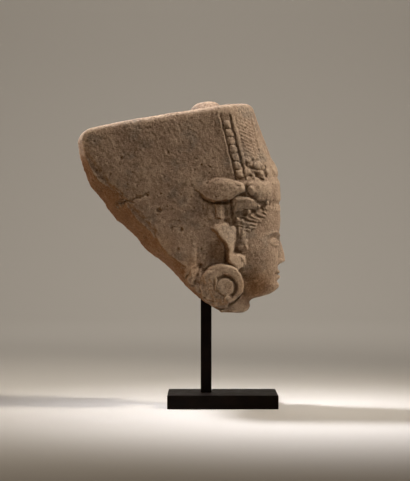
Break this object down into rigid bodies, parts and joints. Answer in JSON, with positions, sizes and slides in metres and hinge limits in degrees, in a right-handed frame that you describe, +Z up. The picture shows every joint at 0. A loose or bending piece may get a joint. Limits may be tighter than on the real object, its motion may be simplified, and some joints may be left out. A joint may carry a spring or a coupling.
{
  "type": "sandstone head sculpture",
  "caption": "Broken sandstone head of the sun god in a tall flat-topped mitre with large ring earrings, on a square steel post and plate.",
  "frame": {"origin": "centre of the stand plate's underside", "axes": "+Z up along the post, +X the way the face looks, +Y to the figure's left"},
  "size_m": [0.2277, 0.1158, 0.3348],
  "materials": {
    "sandstone": "weathered grey-brown sandstone, dry and matt",
    "bronzed_steel": "dark bronze patina under wax, low sheen"
  },
  "bodies": {
    "root": {"stone_head": "sandstone", "stand_post": "bronzed_steel", "stand_plate": "bronzed_steel"}
  },
  "joints": []
}
